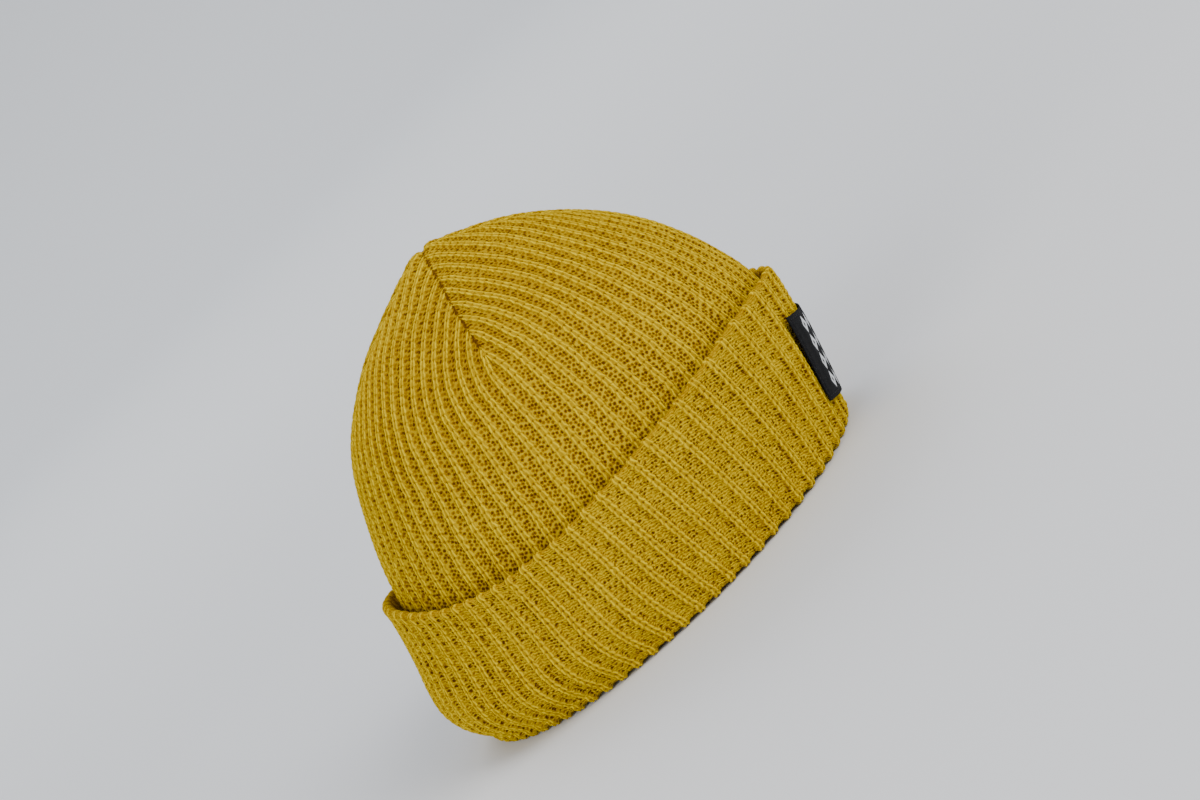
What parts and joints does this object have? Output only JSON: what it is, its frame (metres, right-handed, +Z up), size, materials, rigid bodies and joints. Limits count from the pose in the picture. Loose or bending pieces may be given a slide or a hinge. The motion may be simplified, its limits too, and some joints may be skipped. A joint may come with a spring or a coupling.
{
  "type": "cuffed beanie",
  "caption": "Rib-knit beanie with a turned-up cuff, a softly pointed crown closed by sewn darts, and a woven patch on the front of the cuff, standing on its rim.",
  "frame": {"origin": "on the resting plane, under the middle of the hat's length and width", "axes": "-Y is the front, where the wearer's face and the label are; -X is the wearer's right; +Z is up, towards the top of the crown"},
  "size_m": [0.173, 0.2302, 0.1732],
  "materials": {
    "knit": "matte mustard-yellow rib knit of soft plied yarn",
    "label_weave": "matte black woven tape with a plain pale pattern"
  },
  "bodies": {
    "root": {"crown": "knit", "cuff": "knit", "label": "label_weave"}
  },
  "joints": []
}
